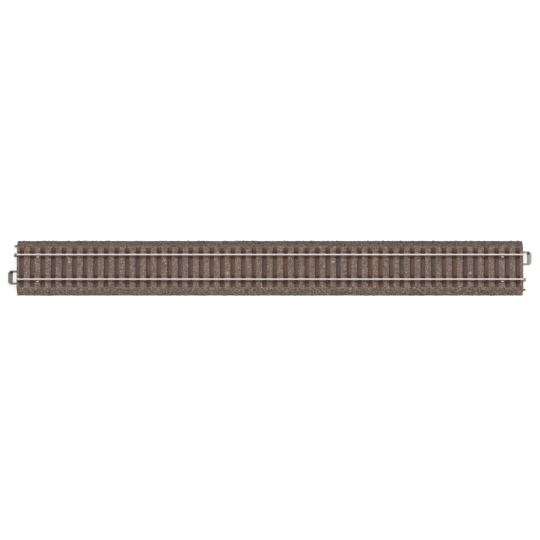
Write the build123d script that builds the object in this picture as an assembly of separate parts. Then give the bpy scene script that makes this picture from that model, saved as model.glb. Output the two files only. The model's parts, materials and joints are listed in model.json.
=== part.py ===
from build123d import *
import os

# Straight two-rail model railway track section, H0 gauge, with a moulded ballast roadbed.
# Millimetres. +X runs along the track, +Y across it, +Z up. The origin is on the surface that
# the track stands on, at the middle of the section. The two ends are the same, turned by half
# a turn about Z, apart from the rail lugs, which are all on the -Y side of their rail.

# ---- driving dimensions -------------------------------------------------------------------
LENGTH = 360.0
GAUGE = 16.5

# joined blocks reach this far into each other, and cuts run this far out of the material
LAP = 0.2
RUN_OUT = 1.0

# roadbed moulding
BASE_HALF = 19.55          # half width at the foot of the slope
FOOT_HEIGHT = 0.5          # upright strip at the foot of the slope
SHOULDER_HALF = 14.7       # half width at the top edge of the slope
BALLAST_TOP = 7.4
CEILING = 6.2              # underside of the top skin
SLOPE_WALL = 1.7           # measured level, through the slope
END_WALL = 1.6
RIB_THICKNESS = 1.2
RIB_BOTTOM = 3.0           # feeder wires pass below the ribs
PLAIN_RIBS_X = (-86.25, 7.5, 93.75)

# fixing holes, each on a boss in the middle of a sleeper bay
FIXING_POINTS = ((-142.5, 4.0), (-30.0, -4.0), (45.0, 4.0), (142.5, -4.0))
BOSS_RADIUS = 2.6
BOSS_BORE_RADIUS = 0.9
RECESS_RADIUS = 1.1
MEMBRANE_BOTTOM = 6.4
MEMBRANE_TOP = 6.9

# sleepers and rail chairs
SLEEPER_COUNT = 48
SLEEPER_PITCH = 7.5
SLEEPER_LENGTH = 28.2
SLEEPER_WIDTH = 3.2
SLEEPER_BOTTOM = 6.9
SLEEPER_TOP = 8.0
SLEEPER_EDGE = 0.15
WEB_WIDTH = 1.8            # strips under the rails that join the sleepers
WEB_TOP = 7.3
CHAIR_LENGTH = 2.7
CHAIR_OUT = 2.8            # from the rail's middle
CHAIR_IN = 0.5
CHAIR_HEIGHT = 0.75
CHAIR_SLOPE = 1.3          # width of the outer slope
CHAIR_LIP = 0.25           # width of the inner bevel, above the rail's foot

# rails
RAIL_HEIGHT = 2.3
HEAD_WIDTH = 1.0
HEAD_DEPTH = 0.6
HEAD_ROUND = 0.15
RAIL_WEB = 0.44
FOOT_WIDTH = 2.1
FOOT_EDGE = 0.2
FOOT_SLOPE_TOP = 0.42
RAIL_Y = (GAUGE + HEAD_WIDTH) / 2
RAILS_Y = (-RAIL_Y, RAIL_Y)

# latch loop, a sprung stirrup that snaps under the catch of the next section
LOOP_Y = 6.9               # middle of the loop, to one side of the track's middle
LOOP_HALF_WIDTH = 4.95
LOOP_ARM = 1.3
LOOP_REACH = 6.5           # beyond the end face
LOOP_BAR = 3.3
LOOP_LIP = 1.0
LOOP_LIP_DROP = 0.6
LOOP_CORNER = 1.6
WINDOW_CORNER = 0.53
LOOP_BOTTOM = 1.9
LOOP_TOP = 3.1
PIVOT_IN = 7.0             # pivot bar, behind the end face
PIVOT_RADIUS = 0.7
PIVOT_HALF = 6.1
SEAT_CLEARANCE = 0.07
SEAT_HALF_LENGTH = 1.2
SEAT_GAP = 0.05
SEATS_Y = ((-13.3, -12.1), (-6.3, -3.5), (-1.7, -0.5))
SEAT_GROOVE_Y = (-14.0, -0.2)

# retainer that closes the seats of the pivot bar from below
RETAINER_BOTTOM = 0.5
RETAINER_TOP = 1.3
RETAINER_FRONT = 5.6       # behind the end face
RETAINER_BACK = 11.9
RETAINER_MARGIN = 0.6      # beyond the outer seat
POST_IN = 10.7
POSTS_Y = (-12.7, -4.9)
POST_WIDTH = 2.2

# catch and mouth that take the loop of the next section
MOUTH_HALF = 5.65
MOUTH_TOP = 4.4
CATCH_HALF = 3.0
CATCH_DEPTH = 3.0
CATCH_BOTTOM = 2.4
CATCH_RAMP = 0.9
CATCH_BRACE = (3.9, 6.4)

# contact tongue and the hole it comes out of
TONGUE_WIDTH = 2.6
TONGUE_REACH = 2.1
TONGUE_BOTTOM = 4.6
TONGUE_TOP = 5.8
TONGUE_INSIDE = 7.5
TONGUE_CHAMFER = 0.3
SLOT_HALF = 1.6
SLOT_TOP = 5.9

# contact plates, one under each rail at each end
PLATE_WIDTH = 4.2
PLATE_THICKNESS = 0.4
PLATE_FRONT = 2.0          # behind the end face
PLATE_BACK = 20.0
TAB_WIDTH = 2.8
TAB_BOTTOM = 3.4
TAB_TOP = 4.2
TAB_LENGTH = 7.5
TAB_NOSE = 0.4             # length and depth of the bevels at the tab's tip
TAB_BEVEL = 0.25
LUG_IN = 15.0              # middle of the lug, behind the end face
LUG_FOOT_HALF = 1.25
LUG_TOP_HALF = 0.85
LUG_THICKNESS = 0.9
LUG_TOP = 8.8
LUG_CLEARANCE = 0.15

# leaf spring that meets the tongue of the next section
SPRING_WIDTH = 2.2
SPRING_THICKNESS = 0.25
SPRING_PIVOT_IN = 8.4
SPRING_PIVOT_Z = 4.35
BEAD_RADIUS = 0.4
CURL_INNER = 0.45
CURL_OUTER = 0.8
CURL_MOUTH_HALF = 0.34
CURL_MOUTH_RUN = 2.8
CURL_STEM = 0.4
CROWN_IN = 1.3
CROWN_Z = 5.15
TIP_IN = 0.35
TIP_Z = 4.45

# locating pin and the socket for the next section's pin
PIN_Y = 15.6
PIN_Z = 2.0
PIN_RADIUS = 0.85
PIN_SHANK_RADIUS = 0.5     # inside the end wall, behind the shoulder
PIN_RELIEF_RADIUS = 1.0    # shallow ring in the end face that the shoulder sits in
PIN_RELIEF_DEPTH = 0.1
PIN_TIP_ROUND = 0.45
PIN_REACH = 2.1
PIN_INSIDE = 3.6
PIN_SOCKET_RADIUS = 0.95
PIN_BOSS = (14.3, 16.9, 0.5, 3.5)
PIN_BOSS_BACK = 4.4

# rivets
RIVET_RADIUS = 0.5
RIVET_HEAD_RADIUS = 0.95
RIVET_HEAD = 0.4
RIVET_TOP = 6.7
RETAINER_RIVET_TOP = 3.6
SPRING_PLATE_RIVETS_IN = (5.5, 17.4)
TONGUE_PLATE_RIVETS_IN = (4.5, 17.4)

END = -LENGTH / 2          # everything at an end is drawn at the left end, at -X
RAIL_BASE = SLEEPER_TOP
RAIL_TOP = RAIL_BASE + RAIL_HEIGHT


# ---- helpers --------------------------------------------------------------------------------
def block(x0, x1, y0, y1, z0, z1):
    """A box from its limits."""
    corner = Pos(x0, y0, z0)
    return corner * Box(x1 - x0, y1 - y0, z1 - z0, align=(Align.MIN, Align.MIN, Align.MIN))


def across(points, y0, y1):
    """A prism across the track, from an outline of (x, z) points."""
    face = Plane.XZ * Polygon(*points, align=None)
    solid = extrude(face, amount=y1 - y0, dir=(0, 1, 0))
    return Pos(0, y0, 0) * solid


def along(points, x0, x1):
    """A prism along the track, from an outline of (y, z) points."""
    face = Plane.YZ * Polygon(*points, align=None)
    solid = extrude(face, amount=x1 - x0, dir=(1, 0, 0))
    return Pos(x0, 0, 0) * solid


def raised(points, z0, z1):
    """An upright prism, from an outline of (x, y) points."""
    face = Pos(0, 0, z0) * Polygon(*points, align=None)
    return extrude(face, amount=z1 - z0, dir=(0, 0, 1))


def upright(radius, x, y, z0, z1):
    """A round pillar."""
    return Pos(x, y, z0) * Cylinder(radius, z1 - z0, align=(Align.CENTER, Align.CENTER, Align.MIN))


def crosswise(radius, x, z, y0, y1):
    """A round bar across the track."""
    bar = Cylinder(radius, y1 - y0, align=(Align.CENTER, Align.CENTER, Align.MIN))
    return Pos(x, y1, z) * Rot(90, 0, 0) * bar


def lengthwise(radius, x0, x1, y, z):
    """A round bar along the track."""
    bar = Cylinder(radius, x1 - x0, align=(Align.CENTER, Align.CENTER, Align.MIN))
    return Pos(x0, y, z) * Rot(0, 90, 0) * bar


def turned(shape):
    """The same thing at the other end of the track."""
    return shape.rotate(Axis.Z, 180)


def both_ends(shapes):
    """The shapes, and the same at the other end."""
    return list(shapes) + [turned(shape) for shape in shapes]


def mirrored(outline):
    """Close a half outline of (y, z) points by its mirror image."""
    return list(outline) + [(-y, z) for y, z in reversed(outline)]


def sleeper_centres():
    """The middle of each sleeper along the track."""
    first = -(SLEEPER_COUNT - 1) * SLEEPER_PITCH / 2
    return [first + number * SLEEPER_PITCH for number in range(SLEEPER_COUNT)]


def join_strips(top):
    """The two strips under the rails that join the sleepers, up to a height."""
    last = sleeper_centres()[-1]
    half = WEB_WIDTH / 2
    return [block(-last, last, y - half, y + half, SLEEPER_BOTTOM, top) for y in RAILS_Y]


# ---- roadbed ----------------------------------------------------------------------------------
def slope_inside(z):
    """Half width of the hollow at a height."""
    run = (BASE_HALF - SHOULDER_HALF) / (BALLAST_TOP - FOOT_HEIGHT)
    return BASE_HALF - SLOPE_WALL - run * max(z - FOOT_HEIGHT, 0)


def hollow(x0, x1, bottom):
    """The space inside the roadbed between two stations, above a height."""
    half = [(slope_inside(bottom), bottom)]
    if bottom < FOOT_HEIGHT:
        half.append((slope_inside(FOOT_HEIGHT), FOOT_HEIGHT))
    half.append((slope_inside(CEILING), CEILING))
    return along(mirrored(half), x0, x1)


def end_additions():
    """What stands inside the roadbed at the left end."""
    inner = END + END_WALL
    pivot = END + PIVOT_IN
    pivot_z = (LOOP_BOTTOM + LOOP_TOP) / 2
    catch_back = END + CATCH_DEPTH
    catch = across(
        [
            (END, MOUTH_TOP),
            (END, CATCH_BOTTOM + CATCH_RAMP),
            (END + CATCH_RAMP, CATCH_BOTTOM),
            (catch_back, CATCH_BOTTOM),
            (catch_back, MOUTH_TOP),
        ],
        LOOP_Y - CATCH_HALF,
        LOOP_Y + CATCH_HALF,
    )
    brace = block(inner - LAP, catch_back, *CATCH_BRACE, MOUTH_TOP - LAP, CEILING + LAP)
    boss_low, boss_high, boss_bottom, boss_top = PIN_BOSS
    pin_boss = block(inner - LAP, END + PIN_BOSS_BACK, boss_low, boss_high, boss_bottom, boss_top)
    front = pivot - SEAT_HALF_LENGTH
    back = pivot + SEAT_HALF_LENGTH
    seats = [block(front, back, *seat_y, pivot_z + SEAT_GAP, CEILING + LAP) for seat_y in SEATS_Y]
    half = POST_WIDTH / 2
    post_x = END + POST_IN
    posts = [
        block(post_x - half, post_x + half, y - half, y + half, RETAINER_TOP, CEILING + LAP)
        for y in POSTS_Y
    ]
    return [catch, brace, pin_boss] + seats + posts


def end_mouths():
    """The openings in the left end wall, cut before the catch is added."""
    outside = END - RUN_OUT
    inner = END + END_WALL
    loops = [
        block(outside, inner, y - MOUTH_HALF, y + MOUTH_HALF, -RUN_OUT, MOUTH_TOP)
        for y in (-LOOP_Y, LOOP_Y)
    ]
    contacts = [
        block(outside, inner, y - SLOT_HALF, y + SLOT_HALF, MOUTH_TOP - LAP, SLOT_TOP)
        for y in RAILS_Y
    ]
    return loops + contacts


def end_holes():
    """Round holes and lug slots at the left end, cut last."""
    pivot = END + PIVOT_IN
    pivot_z = (LOOP_BOTTOM + LOOP_TOP) / 2
    seat_groove = crosswise(PIVOT_RADIUS + SEAT_CLEARANCE, pivot, pivot_z, *SEAT_GROOVE_Y)
    pin_hole = lengthwise(PIN_SHANK_RADIUS, END - RUN_OUT, END + PIN_INSIDE, PIN_Y, PIN_Z)
    pin_relief = lengthwise(PIN_RELIEF_RADIUS, END - RUN_OUT, END + PIN_RELIEF_DEPTH, PIN_Y, PIN_Z)
    pin_socket = lengthwise(PIN_SOCKET_RADIUS, END - RUN_OUT, END + END_WALL + LAP, -PIN_Y, PIN_Z)
    plate_rivets = [
        upright(RIVET_RADIUS, x, y, CEILING - LAP, RIVET_TOP) for x, y, _ in plate_rivet_places()
    ]
    post_rivets = [
        upright(RIVET_RADIUS, END + POST_IN, y, RETAINER_TOP - LAP, RETAINER_RIVET_TOP) for y in POSTS_Y
    ]
    return [seat_groove, pin_hole, pin_relief, pin_socket] + plate_rivets + post_rivets


def lug_slot(x, rail_y):
    """The slot that a plate's lug comes up through, on the -Y side of its rail."""
    outer = rail_y - FOOT_WIDTH / 2 - LUG_THICKNESS
    reach = LUG_FOOT_HALF + LUG_CLEARANCE
    low = CEILING - RUN_OUT
    high = BALLAST_TOP + RUN_OUT
    return block(x - reach, x + reach, outer - LUG_CLEARANCE, outer + LUG_THICKNESS, low, high)


def make_roadbed():
    """The ballast moulding: a trough upside down, with ribs, bosses and latch seats."""
    outline = [(BASE_HALF, 0), (BASE_HALF, FOOT_HEIGHT), (SHOULDER_HALF, BALLAST_TOP)]
    body = along(mirrored(outline), END, -END)
    body -= hollow(END + END_WALL, -END - END_WALL, -RUN_OUT)
    ribs = [
        hollow(x - RIB_THICKNESS / 2, x + RIB_THICKNESS / 2, RIB_BOTTOM)
        for x in PLAIN_RIBS_X + tuple(x for x, _ in FIXING_POINTS)
    ]
    bosses = [upright(BOSS_RADIUS, x, y, 0, CEILING + LAP) for x, y in FIXING_POINTS]
    body -= both_ends(end_mouths())
    body += ribs + bosses + both_ends(end_additions())

    above = BALLAST_TOP + RUN_OUT
    half = SLEEPER_WIDTH / 2
    reach = SLEEPER_LENGTH / 2
    pockets = [
        block(x - half, x + half, -reach, reach, SLEEPER_BOTTOM, above) for x in sleeper_centres()
    ]
    grooves = join_strips(above)
    fixings = [upright(BOSS_BORE_RADIUS, x, y, -RUN_OUT, MEMBRANE_BOTTOM) for x, y in FIXING_POINTS]
    fixings += [upright(RECESS_RADIUS, x, y, MEMBRANE_TOP, above) for x, y in FIXING_POINTS]
    slots = [lug_slot(x, y) for x in (END + LUG_IN, -END - LUG_IN) for y in RAILS_Y]
    body -= pockets + grooves + fixings + slots + both_ends(end_holes())
    return body


# ---- sleepers and rails -----------------------------------------------------------------------
def make_sleeper():
    """One sleeper at x = 0 with its four rail chairs."""
    half = SLEEPER_WIDTH / 2
    reach = SLEEPER_LENGTH / 2
    plank = block(-half, half, -reach, reach, SLEEPER_BOTTOM, SLEEPER_TOP)
    plank = chamfer(plank.edges().group_by(Axis.Z)[-1], SLEEPER_EDGE)
    foot_half = FOOT_WIDTH / 2
    foot_run = (FOOT_SLOPE_TOP - FOOT_EDGE) / (foot_half - RAIL_WEB / 2)
    lip = FOOT_EDGE + foot_run * (foot_half - CHAIR_IN)
    outline = [
        (foot_half, SLEEPER_TOP - LAP),
        (CHAIR_OUT, SLEEPER_TOP - LAP),
        (CHAIR_OUT, SLEEPER_TOP + CHAIR_HEIGHT / 2),
        (CHAIR_OUT - CHAIR_SLOPE, SLEEPER_TOP + CHAIR_HEIGHT),
        (CHAIR_IN + CHAIR_LIP, SLEEPER_TOP + CHAIR_HEIGHT),
        (CHAIR_IN, SLEEPER_TOP + lip),
        (foot_half, SLEEPER_TOP + FOOT_EDGE),
    ]
    chairs = []
    for rail in RAILS_Y:
        for side in (-1, 1):
            points = [(rail + side * y, z) for y, z in outline]
            chairs.append(along(points, -CHAIR_LENGTH / 2, CHAIR_LENGTH / 2))
    return plank + chairs


def make_sleeper_grid():
    """All sleepers, joined under the rails by two strips."""
    sleeper = make_sleeper()
    near_strip, far_strip = join_strips(WEB_TOP)
    return near_strip + [far_strip] + [Pos(x, 0, 0) * sleeper for x in sleeper_centres()]


def make_rail(y):
    """A flat-bottomed rail, its head rounded at the top."""
    foot = FOOT_WIDTH / 2
    web = RAIL_WEB / 2
    head = HEAD_WIDTH / 2
    under_head = RAIL_TOP - HEAD_DEPTH
    half = [
        (foot, RAIL_BASE),
        (foot, RAIL_BASE + FOOT_EDGE),
        (web, RAIL_BASE + FOOT_SLOPE_TOP),
        (web, under_head - (head - web) / 2),
        (head, under_head),
        (head, RAIL_TOP),
    ]
    bar = along(mirrored(half), END, -END)
    top_edges = bar.edges().filter_by(Axis.X).group_by(Axis.Z)[-1]
    return Pos(0, y, 0) * fillet(top_edges, HEAD_ROUND)


# ---- latch ------------------------------------------------------------------------------------
def make_latch_loop():
    """The sprung stirrup of the left end, with its pivot bar."""
    tip = END - LOOP_REACH
    pivot = END + PIVOT_IN
    pivot_z = (LOOP_BOTTOM + LOOP_TOP) / 2
    outer = LOOP_HALF_WIDTH
    plan = [
        (pivot, -outer),
        (tip + LOOP_CORNER, -outer),
        (tip, -outer + LOOP_CORNER),
        (tip, outer - LOOP_CORNER),
        (tip + LOOP_CORNER, outer),
        (pivot, outer),
    ]
    inner = outer - LOOP_ARM
    window = [
        (pivot + RUN_OUT, -inner),
        (tip + LOOP_BAR + WINDOW_CORNER, -inner),
        (tip + LOOP_BAR, -inner + WINDOW_CORNER),
        (tip + LOOP_BAR, inner - WINDOW_CORNER),
        (tip + LOOP_BAR + WINDOW_CORNER, inner),
        (pivot + RUN_OUT, inner),
    ]
    low = LOOP_BOTTOM - LOOP_LIP_DROP
    blank = raised(plan, low, LOOP_TOP) - raised(window, low - RUN_OUT, LOOP_TOP + RUN_OUT)
    side = across(
        [
            (pivot, LOOP_BOTTOM),
            (tip + LOOP_LIP, LOOP_BOTTOM),
            (tip, low),
            (tip, LOOP_TOP - LOOP_LIP_DROP),
            (tip + LOOP_LIP, LOOP_TOP),
            (pivot, LOOP_TOP),
        ],
        -outer - RUN_OUT,
        outer + RUN_OUT,
    )
    loop = blank & side
    loop += crosswise(PIVOT_RADIUS, pivot, pivot_z, -PIVOT_HALF, PIVOT_HALF)
    return Pos(0, -LOOP_Y, 0) * loop


def make_loop_retainer():
    """The plate below the loop's pivot bar, with a half-round seat under each one above."""
    pivot = END + PIVOT_IN
    pivot_z = (LOOP_BOTTOM + LOOP_TOP) / 2
    low = SEATS_Y[0][0] - RETAINER_MARGIN
    high = SEATS_Y[-1][1]
    plate = block(END + RETAINER_FRONT, END + RETAINER_BACK, low, high, RETAINER_BOTTOM, RETAINER_TOP)
    front = pivot - SEAT_HALF_LENGTH
    back = pivot + SEAT_HALF_LENGTH
    plate += [
        block(front, back, *seat_y, RETAINER_TOP - LAP, pivot_z - SEAT_GAP) for seat_y in SEATS_Y
    ]
    plate -= crosswise(PIVOT_RADIUS + SEAT_CLEARANCE, pivot, pivot_z, low - RUN_OUT, high + RUN_OUT)
    plate -= [
        upright(RIVET_RADIUS, END + POST_IN, y, RETAINER_BOTTOM - RUN_OUT, RETAINER_TOP + RUN_OUT)
        for y in POSTS_Y
    ]
    return plate


# ---- contacts ---------------------------------------------------------------------------------
def plate_rivet_places():
    """Each plate rivet of the left end: x, y and the underside of what it holds."""
    plate_under = CEILING - PLATE_THICKNESS
    through_tongue, behind_tongue = TONGUE_PLATE_RIVETS_IN
    places = [(END + x, -RAIL_Y, plate_under) for x in SPRING_PLATE_RIVETS_IN]
    places.append((END + through_tongue, RAIL_Y, TONGUE_BOTTOM))
    places.append((END + behind_tongue, RAIL_Y, plate_under))
    return places


def spring_curl(rail_y):
    """The rolled eye under a plate of the left end that a spring's bead turns in, open to the front."""
    spring_x = END + SPRING_PIVOT_IN
    low = rail_y - SPRING_WIDTH / 2
    high = rail_y + SPRING_WIDTH / 2
    back = spring_x + CURL_OUTER
    stem_top = CEILING - PLATE_THICKNESS + LAP
    mouth_low = SPRING_PIVOT_Z - CURL_MOUTH_HALF
    mouth_high = SPRING_PIVOT_Z + CURL_MOUTH_HALF
    curl = crosswise(CURL_OUTER, spring_x, SPRING_PIVOT_Z, low, high)
    curl += block(back - CURL_STEM, back, low, high, SPRING_PIVOT_Z, stem_top)
    curl -= crosswise(CURL_INNER, spring_x, SPRING_PIVOT_Z, low - RUN_OUT, high + RUN_OUT)
    curl -= block(back - CURL_MOUTH_RUN, spring_x, low - RUN_OUT, high + RUN_OUT, mouth_low, mouth_high)
    return curl


def make_contact_plate(rail_y, holds_spring):
    """A plate of the left end: rail lug, feeder tab, and a curl where it holds a spring."""
    under = CEILING - PLATE_THICKNESS
    half = PLATE_WIDTH / 2
    front = END + PLATE_FRONT
    back = END + PLATE_BACK
    plate = block(front, back, rail_y - half, rail_y + half, under, CEILING)
    tab_low = rail_y - TAB_WIDTH / 2
    tab_high = rail_y + TAB_WIDTH / 2
    plate += block(back - PLATE_THICKNESS, back, tab_low, tab_high, TAB_BOTTOM, CEILING)
    tab_end = back + TAB_LENGTH
    tab = across(
        [
            (back - PLATE_THICKNESS, TAB_BOTTOM),
            (tab_end - TAB_NOSE, TAB_BOTTOM),
            (tab_end, TAB_BOTTOM + TAB_BEVEL),
            (tab_end, TAB_TOP - TAB_BEVEL),
            (tab_end - TAB_NOSE, TAB_TOP),
            (back - PLATE_THICKNESS, TAB_TOP),
        ],
        tab_low,
        tab_high,
    )
    lug_x = END + LUG_IN
    lug_outer = rail_y - FOOT_WIDTH / 2 - LUG_THICKNESS
    lug = across(
        [
            (lug_x - LUG_FOOT_HALF, under),
            (lug_x + LUG_FOOT_HALF, under),
            (lug_x + LUG_FOOT_HALF, BALLAST_TOP),
            (lug_x + LUG_TOP_HALF, LUG_TOP),
            (lug_x - LUG_TOP_HALF, LUG_TOP),
            (lug_x - LUG_FOOT_HALF, BALLAST_TOP),
        ],
        lug_outer,
        lug_outer + LUG_THICKNESS,
    )
    plate += [tab, lug]
    if holds_spring:
        plate += spring_curl(rail_y)
    rivets_in = SPRING_PLATE_RIVETS_IN if holds_spring else TONGUE_PLATE_RIVETS_IN
    plate -= [
        upright(RIVET_RADIUS, END + x, rail_y, under - RUN_OUT, CEILING + RUN_OUT) for x in rivets_in
    ]
    return plate


def make_contact_spring():
    """The leaf that meets the next section's tongue, on the near rail line of the left end."""
    pivot = END + SPRING_PIVOT_IN
    crown = END + CROWN_IN
    tip = END + TIP_IN
    half = SPRING_THICKNESS / 2
    leaf = across(
        [
            (pivot, SPRING_PIVOT_Z - half),
            (crown, CROWN_Z - half),
            (tip, TIP_Z - half),
            (tip, TIP_Z + half),
            (crown, CROWN_Z + half),
            (pivot, SPRING_PIVOT_Z + half),
        ],
        -SPRING_WIDTH / 2,
        SPRING_WIDTH / 2,
    )
    leaf += crosswise(BEAD_RADIUS, pivot, SPRING_PIVOT_Z, -SPRING_WIDTH / 2, SPRING_WIDTH / 2)
    return Pos(0, -RAIL_Y, 0) * leaf


def make_contact_tongue():
    """The solid tongue below the far rail of the left end, held under its plate."""
    tip = END - TONGUE_REACH
    half = TONGUE_WIDTH / 2
    tongue = block(tip, END + TONGUE_INSIDE, RAIL_Y - half, RAIL_Y + half, TONGUE_BOTTOM, TONGUE_TOP)
    tongue = chamfer(tongue.faces().sort_by(Axis.X)[0].edges(), TONGUE_CHAMFER)
    rivet_x = END + TONGUE_PLATE_RIVETS_IN[0]
    return tongue - upright(RIVET_RADIUS, rivet_x, RAIL_Y, TONGUE_BOTTOM - RUN_OUT, TONGUE_TOP + RUN_OUT)


def make_locating_pin():
    """The pin of the left end: a rounded peg, a shoulder in its relief and a thinner shank inside."""
    shoulder = END + PIN_RELIEF_DEPTH
    peg = lengthwise(PIN_RADIUS, END - PIN_REACH, shoulder, PIN_Y, PIN_Z)
    peg = fillet(peg.edges().group_by(Axis.X)[0], PIN_TIP_ROUND)
    return peg + lengthwise(PIN_SHANK_RADIUS, shoulder - LAP, END + PIN_INSIDE, PIN_Y, PIN_Z)


def make_rivet(x, y, held_bottom, shank_top):
    """A rivet that points up, its head below what it holds."""
    head = upright(RIVET_HEAD_RADIUS, x, y, held_bottom - RIVET_HEAD, held_bottom)
    head = fillet(head.edges().group_by(Axis.Z)[0], RIVET_HEAD / 2)
    return head + upright(RIVET_RADIUS, x, y, held_bottom - RIVET_HEAD / 2, shank_top)


# ---- assembly ---------------------------------------------------------------------------------
def other_end(shape):
    """A plate for the right end, with its lug still on the -Y side."""
    return shape.mirror(Plane.YZ)


loop_left = make_latch_loop()
retainer_left = make_loop_retainer()
tongue_left = make_contact_tongue()
spring_left = make_contact_spring()
pin_left = make_locating_pin()
plate_rivets = [make_rivet(x, y, under, RIVET_TOP) for x, y, under in plate_rivet_places()]
retainer_rivets = [
    make_rivet(END + POST_IN, y, RETAINER_BOTTOM, RETAINER_RIVET_TOP) for y in POSTS_Y
]

nodes = {
    "roadbed": make_roadbed(),
    "sleeper_grid": make_sleeper_grid(),
    "rail_near": make_rail(-RAIL_Y),
    "rail_far": make_rail(RAIL_Y),
    "latch_loop_left": loop_left,
    "latch_loop_right": turned(loop_left),
    "loop_retainer_left": retainer_left,
    "loop_retainer_right": turned(retainer_left),
    "contact_tongue_left": tongue_left,
    "contact_tongue_right": turned(tongue_left),
    "contact_spring_left": spring_left,
    "contact_spring_right": turned(spring_left),
    "contact_plate_left_near": make_contact_plate(-RAIL_Y, True),
    "contact_plate_left_far": make_contact_plate(RAIL_Y, False),
    "contact_plate_right_near": other_end(make_contact_plate(-RAIL_Y, False)),
    "contact_plate_right_far": other_end(make_contact_plate(RAIL_Y, True)),
    "locating_pin_left": pin_left,
    "locating_pin_right": turned(pin_left),
    "plate_rivets": Compound(children=both_ends(plate_rivets)),
    "retainer_rivets": Compound(children=both_ends(retainer_rivets)),
}

os.makedirs("parts", exist_ok=True)
for name, shape in nodes.items():
    export_step(shape, f"parts/{name}.step")
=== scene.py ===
import json
import math

import bmesh
import bpy
import numpy as np
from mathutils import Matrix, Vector


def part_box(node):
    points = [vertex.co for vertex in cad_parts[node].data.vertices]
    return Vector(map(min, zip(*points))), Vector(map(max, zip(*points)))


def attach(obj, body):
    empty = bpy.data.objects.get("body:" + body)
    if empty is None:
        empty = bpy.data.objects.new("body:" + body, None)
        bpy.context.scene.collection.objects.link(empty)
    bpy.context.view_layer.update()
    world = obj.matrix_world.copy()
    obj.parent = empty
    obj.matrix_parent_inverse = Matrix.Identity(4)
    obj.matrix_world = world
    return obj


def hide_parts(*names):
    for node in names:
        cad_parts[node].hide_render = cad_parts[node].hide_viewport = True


# The looks of a straight section of model railway track: ballast, sleepers, chairs and metal finishes.
# Lengths are in metres, and MM turns millimetres into metres.
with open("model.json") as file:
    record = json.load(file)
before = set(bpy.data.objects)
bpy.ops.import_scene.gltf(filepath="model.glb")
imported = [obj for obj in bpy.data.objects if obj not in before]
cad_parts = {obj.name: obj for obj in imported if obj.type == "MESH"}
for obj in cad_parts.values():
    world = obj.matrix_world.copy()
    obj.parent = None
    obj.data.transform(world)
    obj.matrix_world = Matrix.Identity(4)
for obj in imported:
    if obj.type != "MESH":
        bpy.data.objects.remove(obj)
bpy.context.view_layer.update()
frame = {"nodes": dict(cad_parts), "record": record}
MM = 0.001
BODY = "track_body"

# ---- driving values ---------------------------------------------------------------------------
_, BED_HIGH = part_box("roadbed")
END_X = BED_HIGH.x
BASE_HALF = BED_HIGH.y
BALLAST_TOP = BED_HIGH.z
FOOT_HEIGHT = 0.5 * MM          # the upright edge below each slope
SHOULDER_HALF = 14.7 * MM       # from the middle line to where a slope starts
SHOULDER_BEND = 0.8 * MM        # the width over which the top turns into a slope
SLOPE_RUN = BASE_HALF - SHOULDER_HALF
SLOPE_RISE = BALLAST_TOP - FOOT_HEIGHT
SLOPE_LENGTH = math.hypot(SLOPE_RUN, SLOPE_RISE)

GRID_LOW, GRID_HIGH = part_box("sleeper_grid")
SLEEPER_COUNT = 48
SLEEPER_PITCH = 7.5 * MM
SLEEPER_WIDTH = 3.2 * MM
SLEEPER_HALF_LENGTH = GRID_HIGH.y
SLEEPER_BOTTOM = GRID_LOW.z
CROWN = 0.20 * MM               # how far a sleeper's top falls from its middle line to its edges
EDGE_WEAR = 0.08 * MM           # and how much more its worn edges fall
CORNER_WEAR = 0.35 * MM
EDGE_WOBBLE = 0.04 * MM
GROOVE_DEPTH = 0.05 * MM
CRACK_DEPTH = 0.10 * MM
WITHOUT_CRACK = 0.86            # the share of the grain's lines that have no crack
STRIP_HALF_WIDTH = 0.9 * MM     # the strips under the rails, which join the sleepers
STRIP_THICKNESS = 0.6 * MM

RAIL_LOW, RAIL_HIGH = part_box("rail_far")
RAIL_Y = (RAIL_LOW.y + RAIL_HIGH.y) / 2
RAIL_FOOT_HALF = (RAIL_HIGH.y - RAIL_LOW.y) / 2
SLEEPER_TOP = RAIL_LOW.z
RAIL_TOP = RAIL_HIGH.z
RAIL_HEAD_DEPTH = 0.6 * MM
RAIL_FOOT_TOP = SLEEPER_TOP + 0.6 * MM
RAIL_FOOT_FADE = 0.3 * MM

CHAIR_HALF_WIDTH = 1.35 * MM
CHAIR_REACH = 2.8 * MM          # from the rail's middle line
CHAIR_SOCKET = 0.3 * MM         # how far a chair reaches down into its sleeper
CHAIR_LIT_HEIGHT = 0.6 * MM     # painted shade darkens a chair below this height
BOLT_X = 0.72 * MM
BOLT_Y = 1.95 * MM
BOLT_Z = 0.62 * MM

STONE_PITCH = 0.82 * MM
STONE_SHOVE = 0.30 * STONE_PITCH        # how far a stone's corners stray from an even pattern
STONE_BASE = 0.97                       # a stone's base as a part of its cell
STONE_SINK = 0.28 * MM
TOP_STONE_HEIGHT = 0.25 * MM
SLOPE_STONE_HEIGHT = 0.58 * MM
FOOT_LUMP = 1.3 * MM                    # the spacing of the uneven clumps along the foot
SLOPE_TINT_SPREAD = 0.96                # the spread of the slope stones' tints, where 1 is full
EDGE_STRIP = 0.1 * MM
STONE_END_GAP = 0.03 * MM               # stones stop just inside the bed's end faces
STONE_FLOOR_GAP = 0.02 * MM
SLEEPER_GAP = 0.14 * MM
SHADED_GAP = 0.34 * MM                  # a wider gap on a sleeper's -X side, between the rails
FIXING_CLEAR = 1.3 * MM

PART_DARKENED = 0.7                     # how darkened stones are beside the rails and, as painted shade, towards the foot of a slope, where 1 is darkest
DARKER_REACH = 1.7 * MM         # darker beside the rails
RAIL_SHADOW_Y = 1.5 * MM              # painted shadow along the near (-Y) edge of each rail's foot
RAIL_SHADOW_REACH = 0.7 * MM
UNDARKENED_END = 11.5 * MM           # a sleeper's ends, which are not darkened, start this far from the middle line
UNDARKENED_FADE = 2.2 * MM
BEYOND_FADE = 2 * MM

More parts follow.
